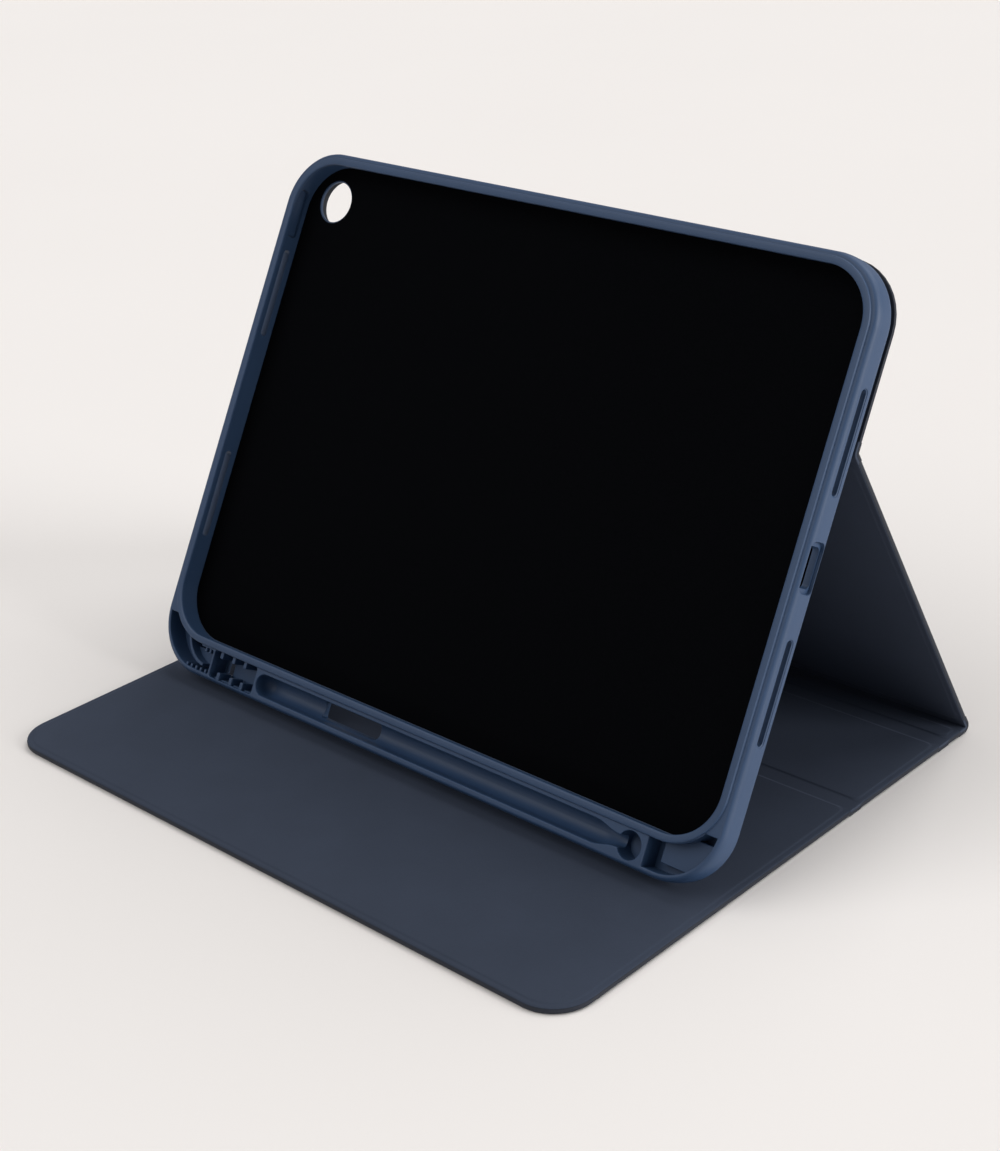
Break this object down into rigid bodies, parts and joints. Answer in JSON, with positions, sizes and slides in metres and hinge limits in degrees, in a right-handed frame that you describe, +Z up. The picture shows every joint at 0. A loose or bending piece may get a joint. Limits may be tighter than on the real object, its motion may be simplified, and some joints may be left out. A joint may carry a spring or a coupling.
{
  "type": "folio stand case for a tablet",
  "caption": "Folding folio stand case for a tablet: a moulded tray with a pencil groove leans on a hinged, lined cover that folds flat.",
  "frame": {"origin": "on the table, under the middle of the case's bounding box", "axes": "+X right seen from the front, +Y from the open front to the strut behind, +Z up"},
  "size_m": [0.2564, 0.212, 0.1807],
  "materials": {
    "tray_tpu": "satin moulded soft plastic",
    "tray_lining": "fine microfibre nap",
    "cover_skin": "matt fine-grained artificial leather",
    "cover_lining": "brushed microfibre",
    "cover_board": "pressed grey board",
    "adhesive": "thin dark film",
    "magnet": "nickel plated"
  },
  "bodies": {
    "rear_panel": {"rear_panel_skin": "cover_skin", "rear_panel_board": "cover_board", "rear_panel_lining": "cover_lining"},
    "front_panel": {"front_panel_skin": "cover_skin", "front_panel_board": "cover_board", "front_panel_lining": "cover_lining", "closure_magnets": "magnet", "wake_magnet": "magnet"},
    "spine": {"spine_skin": "cover_skin", "spine_board": "cover_board", "spine_lining": "cover_lining"},
    "strut": {"strut_skin": "cover_skin", "strut_board": "cover_board", "strut_lining": "cover_lining"},
    "tray": {"upper_leaf_skin": "cover_skin", "upper_leaf_board": "cover_board", "leaf_adhesive": "adhesive", "tray_back": "tray_tpu", "tray_rim": "tray_tpu", "pencil_rail": "tray_tpu", "rail_end": "tray_tpu", "tray_lining": "tray_lining"},
    "volume_button": {"volume_button": "tray_tpu"},
    "power_button": {"power_button": "tray_tpu"}
  },
  "joints": [
    {"name": "cover_fold", "type": "hinge", "parent": "rear_panel", "child": "front_panel", "pos_m": [0, 0.03815, 0], "axis": [1, 0, 0], "range_deg": [0, 90]},
    {"name": "spine_fold", "type": "hinge", "parent": "rear_panel", "child": "spine", "pos_m": [0, 0.09055, 0], "axis": [-1, 0, 0], "range_deg": [0, 90]},
    {"name": "stand_fold", "type": "hinge", "parent": "spine", "child": "strut", "pos_m": [0, 0.10395, 0.0026], "axis": [-1, 0, 0], "range_deg": [0, 120.34]},
    {"name": "tray_fold", "type": "hinge", "parent": "strut", "child": "tray", "pos_m": [0, 0.03524, 0.12515], "axis": [1, 0, 0], "range_deg": [0, 58.39]},
    {"name": "volume_press", "type": "slide", "parent": "tray", "child": "volume_button", "axis": [0, 0.4695, 0.8829], "range_m": [0, 0.0008], "stiffness_N_per_m": 900, "springref_m": -0.0006},
    {"name": "power_press", "type": "slide", "parent": "tray", "child": "power_button", "axis": [1, 0, 0], "range_m": [0, 0.0006], "stiffness_N_per_m": 900, "springref_m": -0.0006}
  ],
  "couplings": [
    {"joint": "tray_fold", "follows": "stand_fold", "ratio": 0.48479}
  ]
}
